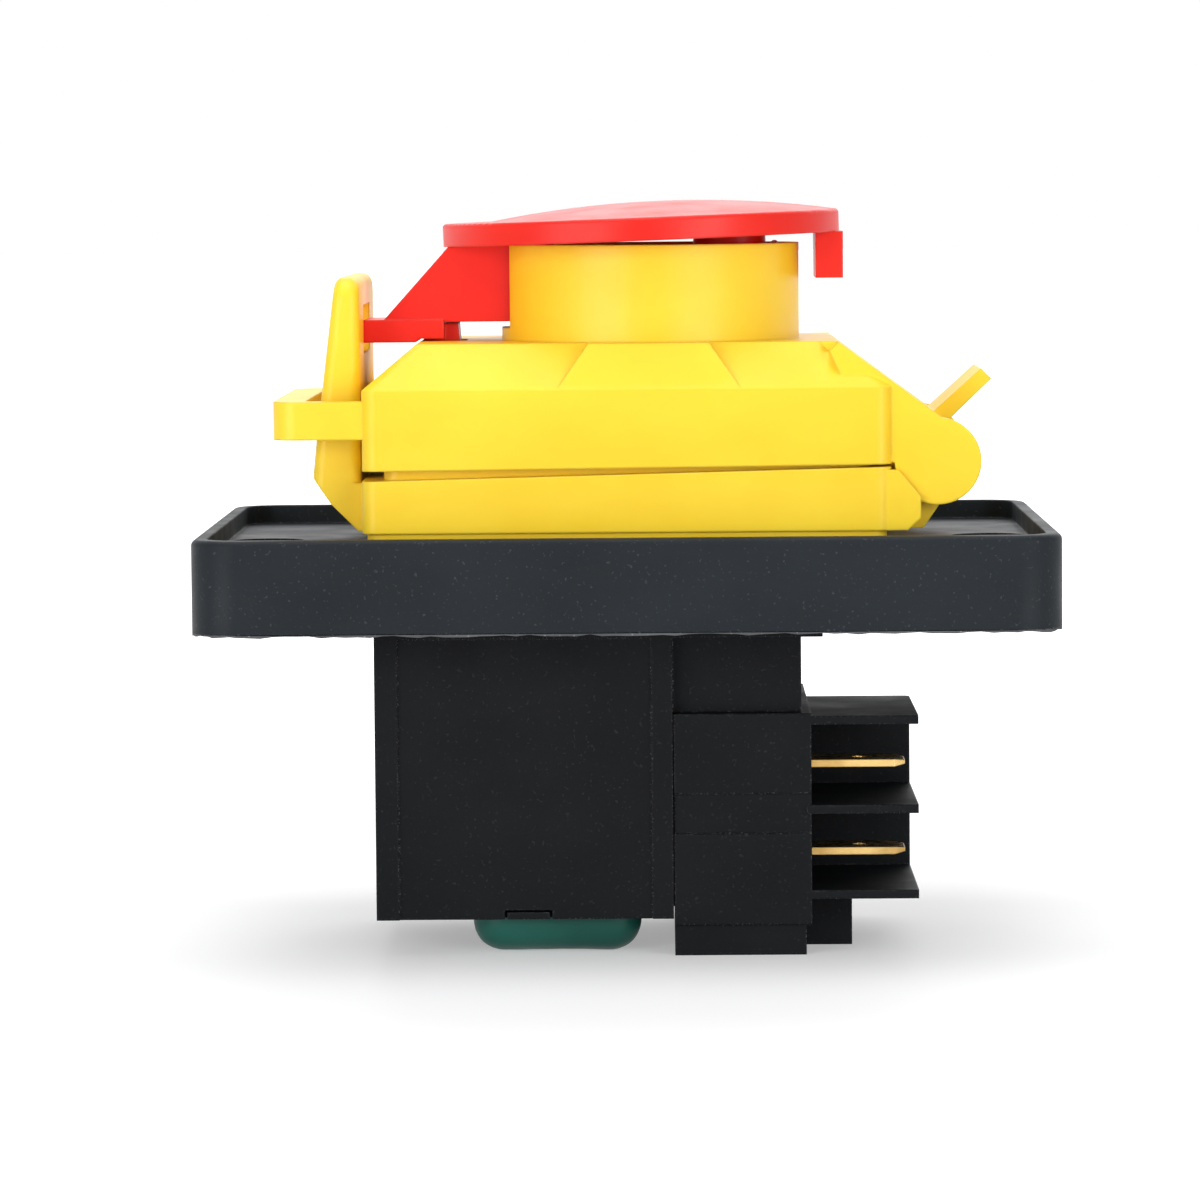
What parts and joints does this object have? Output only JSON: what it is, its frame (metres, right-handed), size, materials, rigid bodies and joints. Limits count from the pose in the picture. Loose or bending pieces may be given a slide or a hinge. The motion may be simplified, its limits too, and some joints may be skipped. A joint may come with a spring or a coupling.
{
  "type": "magnetic push button switch",
  "caption": "No-volt-release machine switch with a hinged yellow lid, a red stop paddle, covered start and stop buttons and blade terminals.",
  "frame": {"origin": "centre of the tray's underside, which lies on the machine panel, midway between the two mounting holes", "axes": "+X towards the lid hinge, +Y away from the pictured side, +Z out of the panel towards the stop paddle"},
  "size_m": [0.0924, 0.066, 0.0819],
  "materials": {
    "tray_black": "satin",
    "case_black": "matte, fine grain",
    "yellow": "satin gloss",
    "red": "satin gloss",
    "green": "satin gloss",
    "brass": "bright",
    "steel": "zinc plated",
    "laminations": "stacked laminations",
    "copper": "enamelled copper",
    "bobbin_white": "matte",
    "capacitor_teal": "dipped epoxy"
  },
  "bodies": {
    "housing": {"mounting_tray": "tray_black", "base_frame": "yellow", "button_plate": "case_black", "plate_screws": "steel", "switch_case": "case_black", "bottom_cover": "case_black", "terminal_block": "case_black", "terminal_base": "case_black", "blade_front_upper": "brass", "blade_front_lower": "brass", "blade_back_upper": "brass", "blade_back_lower": "brass", "start_capacitor": "capacitor_teal", "magnet_core": "laminations", "shading_rings": "copper", "coil_bobbin": "bobbin_white", "coil_winding": "copper", "stop_contacts": "brass", "start_spring": "steel", "stop_spring": "steel", "carrier_springs": "steel"},
    "lid_cover": {"lid": "yellow", "paddle_pin": "steel", "paddle_spring": "steel"},
    "paddle": {"stop_paddle": "red"},
    "stop_plunger": {"stop_button": "red", "stop_bridge": "brass"},
    "start_plunger": {"start_button": "green"},
    "carrier": {"contact_carrier": "case_black", "armature": "laminations", "bridge_upper": "brass", "bridge_lower": "brass"}
  },
  "joints": [
    {"name": "lid_hinge", "type": "hinge", "parent": "housing", "child": "lid_cover", "pos_m": [0.0335, 0, 0.01724], "axis": [0, 1, 0], "range_deg": [0, 110]},
    {"name": "paddle_press", "type": "hinge", "parent": "lid_cover", "child": "paddle", "pos_m": [-0.0202, 0, 0.0264], "axis": [0, 1, 0], "range_deg": [0, 4], "stiffness_Nm_per_rad": 1, "springref_deg": -2.86, "deforming": ["paddle_spring"]},
    {"name": "stop_press", "type": "slide", "parent": "housing", "child": "stop_plunger", "axis": [0, 0, -1], "range_m": [0, 0.0018], "deforming": ["stop_spring"]},
    {"name": "start_press", "type": "slide", "parent": "housing", "child": "start_plunger", "axis": [0, 0, -1], "range_m": [0, 0.003], "stiffness_N_per_m": 500, "springref_m": -0.002, "deforming": ["start_spring"]},
    {"name": "carrier_travel", "type": "slide", "parent": "housing", "child": "carrier", "axis": [0, 0, -1], "range_m": [0, 0.003], "deforming": ["carrier_springs"]}
  ],
  "couplings": [
    {"joint": "stop_press", "follows": "paddle_press", "m_per_rad": 0.0257},
    {"joint": "carrier_travel", "follows": "start_press", "ratio": 1}
  ]
}
